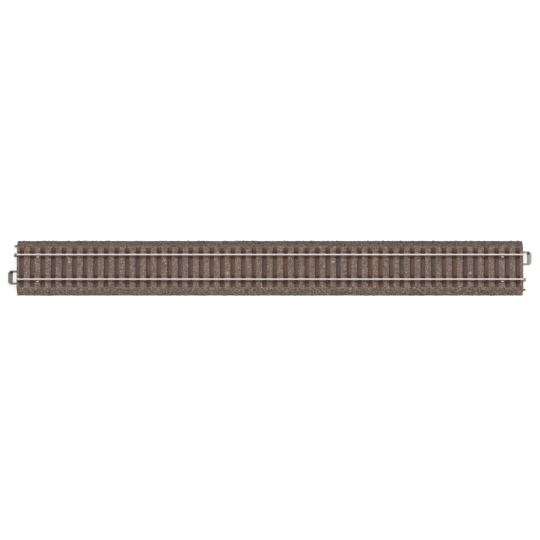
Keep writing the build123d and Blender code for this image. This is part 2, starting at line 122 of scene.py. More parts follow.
LUG_X = 165.0 * MM
LUG_CLEAR = 1.5 * MM
LUG_DEPTH = 0.9 * MM
LUG_SIDE_CLEAR = 0.3 * MM
LUG_SHOWS = 7.4 * MM            # plates above this height are the lugs beside the rails
LUG_FADE = 0.5 * MM

LOOP_Y = 6.9 * MM
LOOP_CORNER_X = 184.1 * MM      # where each loop's far arm meets its bar
LOOP_CORNER_Y = 3.4 * MM
# A painted shadow in the corner where each loop's far arm meets its bar
CORNER_SHADOW_CORE = 0.1 * MM
CORNER_SHADOW_REACH = 1.7 * MM
RECESS_RADIUS = 1.1 * MM
RECESS_FLOOR = 6.9 * MM
RECESS_FADE = 0.05 * MM
RECESS_BELOW = (RECESS_FLOOR - 0.3 * MM, RECESS_FLOOR - 0.2 * MM)   # the paler look fades out here

WIRE_EDGE = 0.16 * MM           # how far sharp edges are rounded
MOULDED_EDGE = 0.12 * MM
TONGUE_EDGE = 0.1 * MM
STAMPED_EDGE = 0.07 * MM
THIN_EDGE = 0.04 * MM
WELD_DISTANCE = 1e-7
FLAT_ANGLE = math.radians(1.5)
SMOOTH_ANGLE = math.radians(38)


def fixing_places():
    """The middle of each fixing recess, two to a row."""
    places = []
    for mount in frame["record"]["mounts"]:
        if mount["name"].startswith("fixing_recesses"):
            x, y, _ = mount["pos_m"]
            half = mount["dims"]["spacing_x_mm"] * MM / 2
            places += [(x - half, y), (x + half, y)]
    return places


def sleeper_centres():
    """The middle of each sleeper along the track."""
    first = -(SLEEPER_COUNT - 1) * SLEEPER_PITCH / 2
    return first + SLEEPER_PITCH * np.arange(SLEEPER_COUNT)


# ---- node materials ---------------------------------------------------------------------------
class Shader:
    """A new node material, with short calls for the nodes that these materials use."""

    def __init__(self, name):
        self.material = bpy.data.materials.new(name)
        self.material.use_nodes = True
        self.tree = self.material.node_tree
        self.bsdf = self.tree.nodes["Principled BSDF"]
        coordinates = self.tree.nodes.new("ShaderNodeTexCoord")
        self.place = coordinates.outputs["Object"]
        self.facing = coordinates.outputs["Normal"]

    def feed(self, socket, value):
        """Links another node's output to a socket, or sets a plain value on it."""
        if isinstance(value, bpy.types.NodeSocket):
            self.tree.links.new(value, socket)
        else:
            socket.default_value = value

    def set(self, **values):
        """The main shader's own sockets."""
        for name, value in values.items():
            self.feed(self.bsdf.inputs[name.replace("_", " ")], value)

    def node(self, kind, **inputs):
        made = self.tree.nodes.new(kind)
        for name, value in inputs.items():
            self.feed(made.inputs[name], value)
        return made

    def work_out(self, kind, operation, *values):
        """The outputs of a Math or Vector Math node."""
        made = self.tree.nodes.new(kind)
        made.operation = operation
        for socket, value in zip(made.inputs, values):
            self.feed(socket, value)
        return made.outputs

    def axes(self, vector):
        """A vector's X, Y and Z."""
        return self.node("ShaderNodeSeparateXYZ", Vector=vector).outputs

    def attribute(self, name):
        """The red, green and blue of a colour painted on the vertices."""
        made = self.tree.nodes.new("ShaderNodeAttribute")
        made.attribute_name = name
        return self.node("ShaderNodeSeparateColor", Color=made.outputs["Color"]).outputs

    def noise(self, scale, detail, rough, squeeze=(1, 1, 1)):
        """Noise over millimetres, with its pattern squeezed by a factor along each axis."""
        spread = self.node("ShaderNodeMapping", Vector=self.place)
        spread.inputs["Scale"].default_value = [factor / MM for factor in squeeze]
        vector = spread.outputs["Vector"]
        made = self.node("ShaderNodeTexNoise", Vector=vector, Scale=scale, Detail=detail, Roughness=rough)
        return made.outputs["Fac"]

    def bump(self, height, distance, strength):
        made = self.node("ShaderNodeBump", Height=height, Strength=strength, Distance=distance)
        self.set(Normal=made.outputs["Normal"])

    def ramp(self, value, stops):
        """A colour for each value, from stops of a value and its colour."""
        made = self.node("ShaderNodeValToRGB", Fac=value)
        elements = made.color_ramp.elements
        while len(elements) < len(stops):
            elements.new(0.5)
        for element, (position, shade) in zip(elements, stops):
            element.position = position
            element.color = shade if len(shade) == 4 else (*shade, 1.0)
        return made.outputs["Color"]

    def mix(self, factor, a, b, how="MIX"):
        """Colour a where the factor is 0, and b where it is 1."""
        made = self.tree.nodes.new("ShaderNodeMix")
        made.data_type = "RGBA"
        made.blend_type = how
        self.feed(made.inputs["Factor"], factor)
        self.feed(made.inputs[6], a)
        self.feed(made.inputs[7], b)
        return made.outputs[2]

    def times(self, tint, *shades):
        """A colour multiplied by others, one after another."""
        for shade in shades:
            tint = self.mix(1.0, tint, shade, "MULTIPLY")
        return tint

    def span(self, value, low, high):
        """A value from 0 to 1, moved to run from low to high."""
        made = self.node("ShaderNodeMapRange", Value=value)
        made.inputs["To Min"].default_value = low
        made.inputs["To Max"].default_value = high
        return made.outputs["Result"]

    def between(self, value, low, high):
        """0 where a value is at the first limit, rising to 1 where it is at the second."""
        made = self.node("ShaderNodeMapRange", Value=value)
        made.inputs["From Min"].default_value = low
        made.inputs["From Max"].default_value = high
        return made.outputs["Result"]

    def both(self, a, b):
        """The product of two masks."""
        return self.work_out("ShaderNodeMath", "MULTIPLY", a, b)["Value"]

    def above(self, low, high):
        """0 below a height, rising to 1 at a higher one."""
        return self.between(self.axes(self.place)["Z"], low, high)

    def inside(self, half_x, half_y, fade):
        """1 within a rectangle about the middle, falling to 0 at its edges over the width of the fade."""
        size = self.axes(self.work_out("ShaderNodeVectorMath", "ABSOLUTE", self.place)["Vector"])
        return self.both(
            self.between(size["X"], half_x, half_x - fade),
            self.between(size["Y"], half_y, half_y - fade),
        )

    def near_places(self, places, inner, outer):
        """1 within the inner distance of any of some upright lines, falling to 0 at the outer one."""
        level = self.work_out("ShaderNodeVectorMath", "MULTIPLY", self.place, (1, 1, 0))["Vector"]
        nearest = 1.0
        for x, y in places:
            away = self.work_out("ShaderNodeVectorMath", "DISTANCE", level, (x, y, 0))["Value"]
            nearest = self.work_out("ShaderNodeMath", "MINIMUM", away, nearest)["Value"]
        return self.between(nearest, outer, inner)


def colour(red, green, blue):
    """A colour given as it looks on a screen, 0 to 255, as the linear values that a shader takes."""
    def linear(value):
        value = value / 255
        return value / 12.92 if value <= 0.04045 else ((value + 0.055) / 1.055) ** 2.4
    return (linear(red), linear(green), linear(blue), 1.0)


def stone_material(name, painted_lightness):
    """Ballast stones: each its own tint, with painted shade towards the joints and a fine matt grain,
    darker where the painted blue says, and made lighter or darker as a whole by a painted lightness.
    """
    shader = Shader(name)
    painted = shader.attribute("stone")
    tint = shader.ramp(painted["Red"], [
        (0.00, colour(62, 50, 43)),
        (0.20, colour(94, 79, 71)),
        (0.45, colour(112, 96, 87)),
        (0.65, colour(121, 106, 96)),
        (0.85, colour(134, 117, 107)),
        (1.00, colour(160, 144, 133)),
    ])
    patches = shader.noise(scale=0.035, detail=3.0, rough=0.6)
    tint = shader.mix(shader.span(patches, 0.0, 0.2), tint, colour(108, 92, 81))
    grain = shader.noise(scale=3.2, detail=4.0, rough=0.65)
    speckle = shader.ramp(grain, [(0.3, (0.68, 0.68, 0.68)), (0.7, (1.16, 1.16, 1.16))])
    chips = shader.noise(scale=1.35, detail=2.0, rough=0.5)
    flecks = shader.ramp(chips, [
        (0.36, (0.66, 0.65, 0.64)),
        (0.50, (1.0, 1.0, 1.0)),
        (0.64, (1.42, 1.40, 1.37)),
    ])
    # The green channel is painted shade: darkest at a stone's sunk base, in the crevices between stones
    crevice_shade = shader.ramp(painted["Green"], [(0.0, (0.22, 0.19, 0.17)), (0.7, (1.0, 1.0, 1.0))])
    # The blue channel darkens: beside the rails, and as painted shade towards a slope's foot and along
    # each rail's foot
    darkened = shader.ramp(painted["Blue"], [
        (0.0, (1.0, 1.0, 1.0)),
        (PART_DARKENED, (0.78, 0.74, 0.70)),
        (1.0, (0.46, 0.42, 0.40)),
    ])
    # A painted lightness for the whole material, which makes lit and shaded copies of one stone material
    painted_lighting = (painted_lightness, painted_lightness, painted_lightness, 1)
    shader.set(Base_Color=shader.times(tint, speckle, flecks, crevice_shade, darkened, painted_lighting))
    shader.set(Roughness=shader.span(grain, 0.62, 0.86), Specular_IOR_Level=0.28)
    shader.bump(grain, distance=0.05 * MM, strength=0.6)
    return shader.material


def moulding_material(name, base, dark, recesses=()):
    """Plain moulded plastic: a soft orange-peel surface, faint flow marks, and paler recess floors."""
    shader = Shader(name)
    fine = shader.noise(scale=2.2, detail=4.0, rough=0.6)
    flow = shader.noise(scale=1.0, detail=3.0, rough=0.5, squeeze=(0.02, 0.12, 0.12))
    body = shader.mix(shader.span(flow, 0.0, 0.7), base, dark)
    body = shader.times(body, shader.ramp(fine, [(0.3, (0.9, 0.9, 0.9)), (0.7, (1.06, 1.06, 1.06))]))
    if recesses:
        by_recess = shader.near_places(recesses, RECESS_RADIUS, RECESS_RADIUS + RECESS_FADE)
        floors = shader.both(by_recess, shader.above(*RECESS_BELOW))
        body = shader.mix(floors, body, colour(146, 132, 122))
    shader.set(Base_Color=body, Roughness=shader.span(fine, 0.48, 0.68), Specular_IOR_Level=0.35)
    shader.bump(fine, distance=0.03 * MM, strength=0.5)
    return shader.material


def sleeper_material():
    """Sleepers moulded as wood: grain along the plank, each plank its own red or purple brown, with
    painted shade from the painted green and darkening from the painted blue.
    """
    shader = Shader("sleeper_wood")
    painted = shader.attribute("plank")
    tint = shader.ramp(painted["Red"], [
        (0.0, colour(86, 63, 54)),
        (0.35, colour(85, 65, 57)),
        (0.7, colour(83, 65, 61)),
        (1.0, colour(76, 60, 57)),
    ])
    grain = shader.noise(scale=1.0, detail=5.0, rough=0.65, squeeze=(3.2, 0.16, 1.0))
    lines = shader.ramp(grain, [(0.28, (0.62, 0.60, 0.59)), (0.72, (1.14, 1.12, 1.10))])
    mottled = shader.noise(scale=1.0, detail=3.0, rough=0.6, squeeze=(0.35, 0.12, 0.35))
    clouds = shader.ramp(mottled, [(0.25, (0.82, 0.80, 0.80)), (0.75, (1.10, 1.07, 1.04))])
    # The green channel is painted shade: a painted shadow along each sleeper's -X edge, darker flanks,
    # darker strips under the rails, and chairs darker low down
    edge = shader.ramp(painted["Green"], [(0.0, (0.30, 0.26, 0.25)), (0.8, (1.0, 1.0, 1.0))])
    # The blue channel darkens the sleepers beside and outside the rails, and the chairs
    darkened = shader.ramp(painted["Blue"], [(0.0, (1.0, 1.0, 1.0)), (1.0, (0.56, 0.43, 0.37))])
    shader.set(Base_Color=shader.times(tint, lines, clouds, edge, darkened))
    shader.set(Roughness=shader.span(grain, 0.66, 0.86), Specular_IOR_Level=0.2)
    shader.bump(grain, distance=0.06 * MM, strength=0.7)
    return shader.material


def drawn_metal(name, base, dull, rough, lines, metallic=0.85, finish=None):
    """Metal with fine lines from drawing or rolling, faint dull patches, and upright faces darker, for the
    cut edges and as painted shade.
    """
    shader = Shader(name)
    streaks = shader.noise(scale=1.0, detail=4.0, rough=0.6, squeeze=lines)
    patches = shader.noise(scale=1.0, detail=3.0, rough=0.6, squeeze=(0.12, 0.5, 0.5))
    body = shader.mix(shader.ramp(patches, [(0.45, (0, 0, 0)), (0.75, (1, 1, 1))]), base, dull)
    # Upright faces darker than level ones: darker cut edges, and painted shade
    level = shader.work_out("ShaderNodeMath", "ABSOLUTE", shader.axes(shader.facing)["Z"])["Value"]
    body = shader.times(body, shader.ramp(level, [(0.25, (0.42, 0.40, 0.38)), (0.9, (1.0, 1.0, 1.0))]))
    if finish:
        body = finish(shader, body)
    shader.set(Base_Color=body, Metallic=metallic, Roughness=shader.span(streaks, *rough))
    shader.bump(streaks, distance=0.01 * MM, strength=0.35)
    return shader.material


def painted_corner_shadows(shader, body):
    """A painted shadow in the corner where each loop's far arm meets its bar, with a ragged edge."""
    corners = [(-LOOP_CORNER_X, LOOP_CORNER_Y - LOOP_Y), (LOOP_CORNER_X, LOOP_CORNER_Y + LOOP_Y)]
    corner_shadow = shader.near_places(corners, CORNER_SHADOW_CORE, CORNER_SHADOW_REACH)
    ragged = shader.noise(scale=0.9, detail=3.0, rough=0.6)
    edge = shader.both(corner_shadow, shader.span(ragged, -0.7, 2.6))
    shadow_sheet = shader.ramp(edge, [(0.30, (0, 0, 0)), (0.52, (1, 1, 1))])
    return shader.mix(shadow_sheet, body, (0.014, 0.012, 0.011, 1))


def bright_lugs(shader, body):
    """The lugs beside the rails, bright where they are joined to the rail."""
    return shader.mix(shader.above(LUG_SHOWS, LUG_SHOWS + LUG_FADE), body, (0.36, 0.31, 0.28, 1))


def rail_material():
    """Drawn nickel silver: a bright running surface over a paler foot and a darker brown web, painted
    shade under the head, and painted shade on faces turned to -Y.
    """
    shader = Shader("nickel_silver")
    streaks = shader.noise(scale=1.0, detail=4.0, rough=0.6, squeeze=(0.05, 6, 6))
    blotches = shader.noise(scale=1.0, detail=4.0, rough=0.65, squeeze=(0.3, 1.2, 1.2))
    head_mask = shader.above(RAIL_TOP - RAIL_HEAD_DEPTH, RAIL_TOP - RAIL_HEAD_DEPTH / 3)
    bright = shader.mix(blotches, (0.465, 0.41, 0.38, 1), (0.40, 0.346, 0.318, 1))
    web = shader.mix(blotches, colour(96, 81, 72), colour(118, 101, 91))
    foot = shader.mix(blotches, colour(130, 114, 104), colour(150, 133, 123))
    sides_and_shade = shader.mix(shader.above(RAIL_FOOT_TOP, RAIL_FOOT_TOP + RAIL_FOOT_FADE), foot, web)
    # Painted shade on the rail's faces turned to -Y
    shaded_near_faces = shader.between(shader.axes(shader.facing)["Y"], -0.10, -0.30)
    sides_and_shade = shader.mix(shaded_near_faces, sides_and_shade, colour(98, 84, 75))
    shader.set(Base_Color=shader.mix(head_mask, sides_and_shade, bright))
    shader.set(Metallic=shader.span(head_mask, 0.35, 1.0), Roughness=shader.span(streaks, 0.36, 0.52))
    shader.bump(streaks, distance=0.01 * MM, strength=0.35)
    return shader.material


TOP_STONES = stone_material("ballast_stones_top", painted_lightness=1.0)
# The slope stones are lit and shaded copies of the top stones: painted lighter on the near slope, painted
# darker on the far slope
NEAR_STONES_PAINTED_LIGHTER = stone_material("ballast_stones_near_painted_lighter", painted_lightness=1.28)
FAR_STONES_PAINTED_DARKER = stone_material("ballast_stones_far_painted_darker", painted_lightness=0.73)
BED_PLASTIC = moulding_material("bed_plastic", colour(98, 82, 72), colour(84, 69, 60), fixing_places())
RETAINER_PLASTIC = moulding_material("retainer_plastic", colour(74, 64, 58), colour(60, 52, 48))
SLEEPER_WOOD = sleeper_material()
NICKEL_SILVER = rail_material()
LATCH_STEEL = drawn_metal(
    "latch_steel", base=(0.205, 0.186, 0.170, 1), dull=(0.160, 0.144, 0.132, 1),
    rough=(0.6, 0.74), lines=(4, 0.4, 4), metallic=0.3, finish=painted_corner_shadows,
)
TINNED = drawn_metal(
    "tinned_contact", base=(0.17, 0.148, 0.134, 1), dull=(0.125, 0.110, 0.10, 1),
    rough=(0.46, 0.6), lines=(0.4, 5, 5), metallic=0.7, finish=bright_lugs,
)
BRONZE = drawn_metal(
    "phosphor_bronze", base=(0.62, 0.40, 0.23, 1), dull=(0.46, 0.29, 0.17, 1),
    rough=(0.28, 0.42), lines=(0.4, 5, 5),
)
PIN_STEEL = drawn_metal(
    "pin_steel", base=(0.20, 0.19, 0.18, 1), dull=(0.15, 0.143, 0.136, 1),
    rough=(0.5, 0.64), lines=(5, 0.5, 0.5), metallic=0.3,
)
BRASS = drawn_metal(
    "rivet_brass", base=(0.70, 0.53, 0.27, 1), dull=(0.54, 0.40, 0.2, 1),
    rough=(0.25, 0.4), lines=(2, 2, 2),
)


# ---- making pieces ----------------------------------------------------------------------------
def make_piece(name, vertices, faces, material, replaced=()):
    """A mesh piece of the track body."""
    mesh = bpy.data.meshes.new(name)
    mesh.from_pydata(vertices, [], faces)
    mesh.materials.append(material)
    piece = bpy.data.objects.new(name, mesh)
    bpy.context.scene.collection.objects.link(piece)
    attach(piece, BODY)
    if replaced:
        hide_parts(*replaced)
    return piece


def paint(piece, name, colours):
    """A colour for each vertex, read by the material."""
    attribute = piece.data.color_attributes.new(name, "FLOAT_COLOR", "POINT")
    attribute.data.foreach_set("color", np.asarray(colours, np.float32).ravel())


def sharp_edges(built, degrees):
    """The edges where two faces meet at more than an angle."""
    limit = math.radians(degrees)
    return [e for e in built.edges if len(e.link_faces) == 2 and e.calc_face_angle(0) > limit]


# ---- darkening and painted shade --------------------------------------------------------------
def near_rail(y):
    """1 beside a rail, falling to 0 a few millimetres away."""
    return np.exp(-((np.abs(np.abs(y) - RAIL_Y) / DARKER_REACH) ** 2))


def rail_shadow_line(y):
    """1 in a painted shadow along the near (-Y) edge of each rail's foot, falling to 0 beside it."""
    lines = [np.exp(-(((y - rail + RAIL_SHADOW_Y) / RAIL_SHADOW_REACH) ** 2)) for rail in (-RAIL_Y, RAIL_Y)]
    return np.maximum(*lines)


def sleeper_ends(y):
    """0 over most of a sleeper, rising to 1 at its ends."""
    return np.clip((np.abs(y) - UNDARKENED_END) / UNDARKENED_FADE, 0, 1)


def beyond_rails(y):
    """0 between the rails, rising to 1 outside them."""
    return np.clip((np.abs(y) - RAIL_Y) / BEYOND_FADE, 0, 1)


def down_to_foot(across):
    """0 at a shoulder, rising to 1 at the foot of the slope."""
    return np.clip((np.abs(across) - SHOULDER_HALF) / SLOPE_LENGTH, 0, 1)


# ---- ballast ----------------------------------------------------------------------------------
def surface_point(across, lift):
    """The y and z of points on the bed. Across runs outwards from the middle line, over the shoulder and
    down the slope, and lift is how far a point stands off the surface."""
    over = np.abs(across) - SHOULDER_HALF
    down = np.clip(over, 0, SLOPE_LENGTH)
    foot = np.clip(over - SLOPE_LENGTH, 0, None)
    y = np.minimum(np.abs(across), SHOULDER_HALF) + down * SLOPE_RUN / SLOPE_LENGTH
    z = BALLAST_TOP - down * SLOPE_RISE / SLOPE_LENGTH - foot
    turn = np.clip(over / SHOULDER_BEND + 0.5, 0, 1)
    normal_y = turn * SLOPE_RISE / SLOPE_LENGTH
    normal_z = np.sqrt(1 - normal_y ** 2)
    return np.sign(across) * (y + lift * normal_y), z + lift * normal_z


def foot_lumps(rng, middle):
    """How tall stones are for their place: 1 above, uneven clumps along the foot of each slope."""
    knots = np.arange(-END_X, END_X + FOOT_LUMP, FOOT_LUMP)
    clumps = np.interp(middle[:, 0], knots, rng.uniform(0.0, 1.5, len(knots)))
    return np.where(down_to_foot(middle[:, 1]) > 0.8, clumps, 1.0)


def stray(along, across, waves, twist, cross_waves, reach):
    """A smooth push along one direction, so that rows of cells don't show. Reach is in millimetres."""
    return np.sin(along * waves + twist * np.sin(across * cross_waves)) * reach * MM


def stone_cells(rng, half_length, half_across):
    """Corners of irregular six-sided cells that fill the bed rolled out flat, as places along and across:
    an array of cells by 6 by 2."""
    size = STONE_PITCH / math.sqrt(3)
    columns = int(2 * half_length / STONE_PITCH) + 4
    rows = int(2 * half_across / (1.5 * size)) + 4
    row, column = np.meshgrid(np.arange(rows), np.arange(columns), indexing="ij")
    x = (column - columns / 2 + 0.5 * (row % 2)) * STONE_PITCH
    s = (row - rows / 2) * 1.5 * size
    north = np.stack([x, s + size], -1) + rng.uniform(-STONE_SHOVE, STONE_SHOVE, (rows, columns, 2))
    south = np.stack([x, s - size], -1) + rng.uniform(-STONE_SHOVE, STONE_SHOVE, (rows, columns, 2))
    inner_row, inner_column = row[1:-1, 1:-1], column[1:-1, 1:-1]
    right = inner_column + inner_row % 2
    corners = [
        north[inner_row, inner_column],
        south[inner_row + 1, right - 1],
        north[inner_row - 1, right - 1],
        south[inner_row, inner_column],
        north[inner_row - 1, right],
        south[inner_row + 1, right],
    ]
    cells = np.stack(corners, 2).reshape(-1, 6, 2)
    along, across = cells[..., 0], cells[..., 1]
    moved_along = along + stray(along, across, waves=1100, twist=2.0, cross_waves=700, reach=0.16)
    moved_across = across + stray(across, along, waves=1300, twist=1.7, cross_waves=450, reach=0.14)
    return np.stack([moved_along, moved_across], -1)


def keep_cells(cells):
    """Which cells lie on the bed and clear of the sleepers, the fixing recesses and the rail lugs."""
    middle = cells.mean(1)
    x, s = middle[:, 0], middle[:, 1]
    centres = sleeper_centres()
    keep = (np.abs(x) < END_X - EDGE_STRIP) & (np.abs(s) < SHOULDER_HALF + SLOPE_LENGTH + EDGE_STRIP)
    nearest = centres[np.argmin(np.abs(x[:, None] - centres[None]), 1)]
    gap = np.where((x < nearest) & (np.abs(s) < RAIL_Y), SHADED_GAP, SLEEPER_GAP)
    beside = np.abs(x - nearest) < SLEEPER_WIDTH / 2 + gap
    keep &= ~(beside & (np.abs(s) < SLEEPER_HALF_LENGTH + SLEEPER_GAP))
    for place_x, place_y in fixing_places():
        keep &= np.hypot(x - place_x, s - place_y) > FIXING_CLEAR
    for rail in (-RAIL_Y, RAIL_Y):
        lug = rail - RAIL_FOOT_HALF - LUG_DEPTH / 2
        beside = np.abs(np.abs(x) - LUG_X) < LUG_CLEAR
        keep &= ~(beside & (np.abs(s - lug) < LUG_DEPTH / 2 + LUG_SIDE_CLEAR))
    return keep


def add_ballast():
    """Four pieces of moulded stones: between the rails, the two shoulders, and each slope."""
    rng = np.random.default_rng(41)
    cells = stone_cells(rng, END_X, SHOULDER_HALF + SLOPE_LENGTH)
    cells = cells[keep_cells(cells)]
    count = len(cells)
    middle = cells.mean(1)
    across = middle[:, 1]
    on_slope = np.abs(across) > SHOULDER_HALF
    tallest = np.where(on_slope, SLOPE_STONE_HEIGHT, TOP_STONE_HEIGHT)
    height = tallest * (0.12 + 0.66 * rng.random(count) ** 0.9) * foot_lumps(rng, middle)
    ring_in = rng.uniform(0.60, 0.80, (count, 6))
    ring_height = np.minimum(height[:, None] * rng.uniform(0.55, 1.0, (count, 6)), tallest[:, None])
    apex_height = np.minimum(height * rng.uniform(1.05, 1.35, count), tallest)
    apex = middle + rng.uniform(-0.1, 0.1, (count, 2)) * STONE_PITCH
    tints = rng.random(count)
    tints = np.where(on_slope, 0.5 + SLOPE_TINT_SPREAD * (tints - 0.5), tints)
    # Darker beside the rails, and painted shade deepening towards the foot of each slope
    darkened = np.maximum(near_rail(across), down_to_foot(across)) * PART_DARKENED
    # A painted shadow along the near (-Y) edge of each rail's foot
    darkened = np.maximum(darkened, rail_shadow_line(across))

    # A stone has 13 points: 6 round its base, 6 in a ring above them, and its apex.
    spread = cells - middle[:, None]
    base = middle[:, None] + spread * STONE_BASE
    ring = middle[:, None] + spread * ring_in[..., None]
    flat = np.concatenate([base, ring, apex[:, None]], 1)
    lift = np.concatenate([np.full((count, 6), -STONE_SINK), ring_height, apex_height[:, None]], 1)
    x = np.clip(flat[..., 0], STONE_END_GAP - END_X, END_X - STONE_END_GAP)
    y, z = surface_point(flat[..., 1], lift)
    points = np.stack([x, y, np.maximum(z, STONE_FLOOR_GAP)], -1)
    # 0 at a stone's base, for painted shade in the crevices between stones
    clear_of_crevice_shade = np.concatenate([np.zeros((count, 6)), np.ones((count, 7))], 1)
    each = np.ones((count, 13))
    shades = np.stack([each * tints[:, None], clear_of_crevice_shade, each * darkened[:, None], each], -1)

    one_stone = [tuple(range(5, -1, -1))]
    one_stone += [(k, (k + 1) % 6, 6 + (k + 1) % 6, 6 + k) for k in range(6)]
    one_stone += [(6 + k, 6 + (k + 1) % 6, 12) for k in range(6)]
    between_rails = np.abs(across) < RAIL_Y
    areas = {
        "ballast_between_rails": (between_rails, TOP_STONES),
        "ballast_shoulders": (~between_rails & ~on_slope, TOP_STONES),
        "ballast_slope_near": (on_slope & (across < 0), NEAR_STONES_PAINTED_LIGHTER),
        "ballast_slope_far": (on_slope & (across > 0), FAR_STONES_PAINTED_DARKER),
    }
    for name, (chosen, stones) in areas.items():
        number = int(chosen.sum())
        faces = [tuple(13 * k + corner for corner in face) for k in range(number) for face in one_stone]
        piece = make_piece(name, points[chosen].reshape(-1, 3), faces, stones)
        paint(piece, "stone", shades[chosen].reshape(-1, 4))


# ---- sleepers ---------------------------------------------------------------------------------
def smooth_noise(rng, count, coarse):
    """A random line of count values within -1 to 1 that runs straight from knot to knot."""
    knots = rng.uniform(-1, 1, coarse + 2)
    return np.interp(np.linspace(0, coarse, count), np.arange(coarse + 2), knots)


def grid_border(low, across, lengthways):
    """The border of a grid of vertices that starts at number low, as a list of numbers, in order."""
    left = [low + j * across for j in range(lengthways)]
    far = [low + (lengthways - 1) * across + i for i in range(1, across)]
    right = [low + j * across + across - 1 for j in range(lengthways - 2, -1, -1)]
    near = [low + i for i in range(across - 2, 0, -1)]
    return left + far + right + near


def add_sleepers():
    """Planks with raised grain and worn edges, over the strips that join them."""
    rng = np.random.default_rng(17)
    across, lengthways = 19, 57
    u = np.linspace(-1, 1, across)
    v = np.linspace(-1, 1, lengthways)
    along = v * SLEEPER_HALF_LENGTH
    # A painted shadow along each sleeper's -X edge and a fainter darkening of its +X edge, both weaker
    # outside the rails
    edge_shade = np.where(u < 0, 0.8 * np.abs(u) ** 5, 0.25 * np.abs(u) ** 8)
    painted_lighting = 1 - np.outer(1 - 0.7 * beyond_rails(along), edge_shade)
    # Darker beside the rails and outside them, but not at the sleeper's ends
    darkened = np.maximum(near_rail(along), 0.4 * beyond_rails(along) * (1 - sleeper_ends(along)))
    crown = -CROWN * np.abs(u) ** 2.4 - EDGE_WEAR * np.abs(u) ** 8
    end_wear = -EDGE_WEAR * np.abs(v) ** 16
    vertices, faces, shades = [], [], []

    for centre in sleeper_centres():
        start = len(vertices)
        grooves = smooth_noise(rng, across, 9) * GROOVE_DEPTH
        cracks = np.where(rng.random(across) > WITHOUT_CRACK, -CRACK_DEPTH, 0.0)
        sway = smooth_noise(rng, lengthways, 6)
        tint = rng.random()
        wobble = smooth_noise(rng, lengthways, 12) * EDGE_WOBBLE
        for j in range(lengthways):
            for i in range(across):
                source = min(max(i + 0.5 * sway[j], 0), across - 1.001)
                k = int(source)
                groove = grooves[k] + (grooves[k + 1] - grooves[k]) * (source - k)
                grain = min(groove + cracks[i] * (0.5 + 0.5 * sway[j]), 0)
                half = SLEEPER_WIDTH / 2 + wobble[j] * abs(u[i]) - CORNER_WEAR * abs(v[j]) ** 40
                height = SLEEPER_TOP + grain + crown[i] + end_wear[j]
                vertices.append((centre + u[i] * half, along[j], height))
                shades.append((tint, painted_lighting[j, i], darkened[j], 1))
        for j in range(lengthways - 1):
            for i in range(across - 1):
                a = start + j * across + i
                faces.append((a, a + 1, a + across + 1, a + across))
        border = grid_border(start, across, lengthways)
        skirt = len(vertices)
        for number in border:
            x, y, _ = vertices[number]
            vertices.append((x, y, SLEEPER_BOTTOM))
            # Painted shade on the sleeper's flanks
            shades.append((tint, 0, 0, 1))
        n = len(border)
        for k in range(n):
            faces.append((border[k], border[(k + 1) % n], skirt + (k + 1) % n, skirt + k))
        faces.append(tuple(range(skirt + n - 1, skirt - 1, -1)))

    reach = sleeper_centres()[-1]
    for rail in (-RAIL_Y, RAIL_Y):
        start = len(vertices)
        for x in (-reach, reach):
            for y, z in ((-1, 0), (1, 0), (1, 1), (-1, 1)):
                vertices.append((x, rail + y * STRIP_HALF_WIDTH, SLEEPER_BOTTOM + z * STRIP_THICKNESS))
                # Painted shade on the strips under the rails
                shades.append((0.5, 0.1, 0, 1))
        faces += [tuple(start + k for k in face) for face in (
            (0, 1, 2, 3), (7, 6, 5, 4), (0, 4, 5, 1), (1, 5, 6, 2), (2, 6, 7, 3), (3, 7, 4, 0))]
    piece = make_piece("sleepers", vertices, faces, SLEEPER_WOOD, ("sleeper_grid",))
    paint(piece, "plank", shades)


def from_lowest(corners):
    """A face's corners in order from the lowest number, so that each run lists them the same way."""
    first = corners.index(min(corners))
    return corners[first:] + corners[:first]


def chair_mesh():
    """One rail chair at the origin, on the +Y side of a rail that stands on z = 0, with two bolt heads."""
    outline = [
        (RAIL_FOOT_HALF, -CHAIR_SOCKET), (CHAIR_REACH, -CHAIR_SOCKET), (CHAIR_REACH, 0.34 * MM),
        (1.5 * MM, 0.75 * MM), (0.75 * MM, 0.75 * MM), (0.5 * MM, 0.36 * MM), (RAIL_FOOT_HALF, 0.2 * MM),
    ]
    built = bmesh.new()
    low = [built.verts.new((-CHAIR_HALF_WIDTH, y, z)) for y, z in outline]
    high = [built.verts.new((CHAIR_HALF_WIDTH, y, z)) for y, z in outline]
    built.faces.new(low)
    built.faces.new(list(reversed(high)))
    for k in range(len(outline)):
        n = (k + 1) % len(outline)
        built.faces.new((low[n], low[k], high[k], high[n]))
    bmesh.ops.recalc_face_normals(built, faces=built.faces)
    corners = [
        e for e in built.edges
        if min(v.co.y for v in e.verts) > CHAIR_REACH - 0.1 * MM and e.verts[0].co.x == e.verts[1].co.x
    ]
    bmesh.ops.bevel(built, geom=corners, offset=0.6 * MM, segments=3, affect="EDGES", profile=0.5)
    bmesh.ops.bevel(built, geom=sharp_edges(built, 34), offset=0.07 * MM, segments=1, affect="EDGES")
    for x in (-BOLT_X, BOLT_X):
        bolt = bmesh.ops.create_cone(
            built, cap_ends=True, segments=6, radius1=0.30 * MM, radius2=0.24 * MM, depth=0.4 * MM)
        bmesh.ops.translate(built, verts=bolt["verts"], vec=(x, BOLT_Y, BOLT_Z))
    points = np.array([v.co[:] for v in built.verts])
    built.verts.index_update()
    faces = sorted(from_lowest([v.index for v in face.verts]) for face in built.faces)
    built.free()
    return points, faces


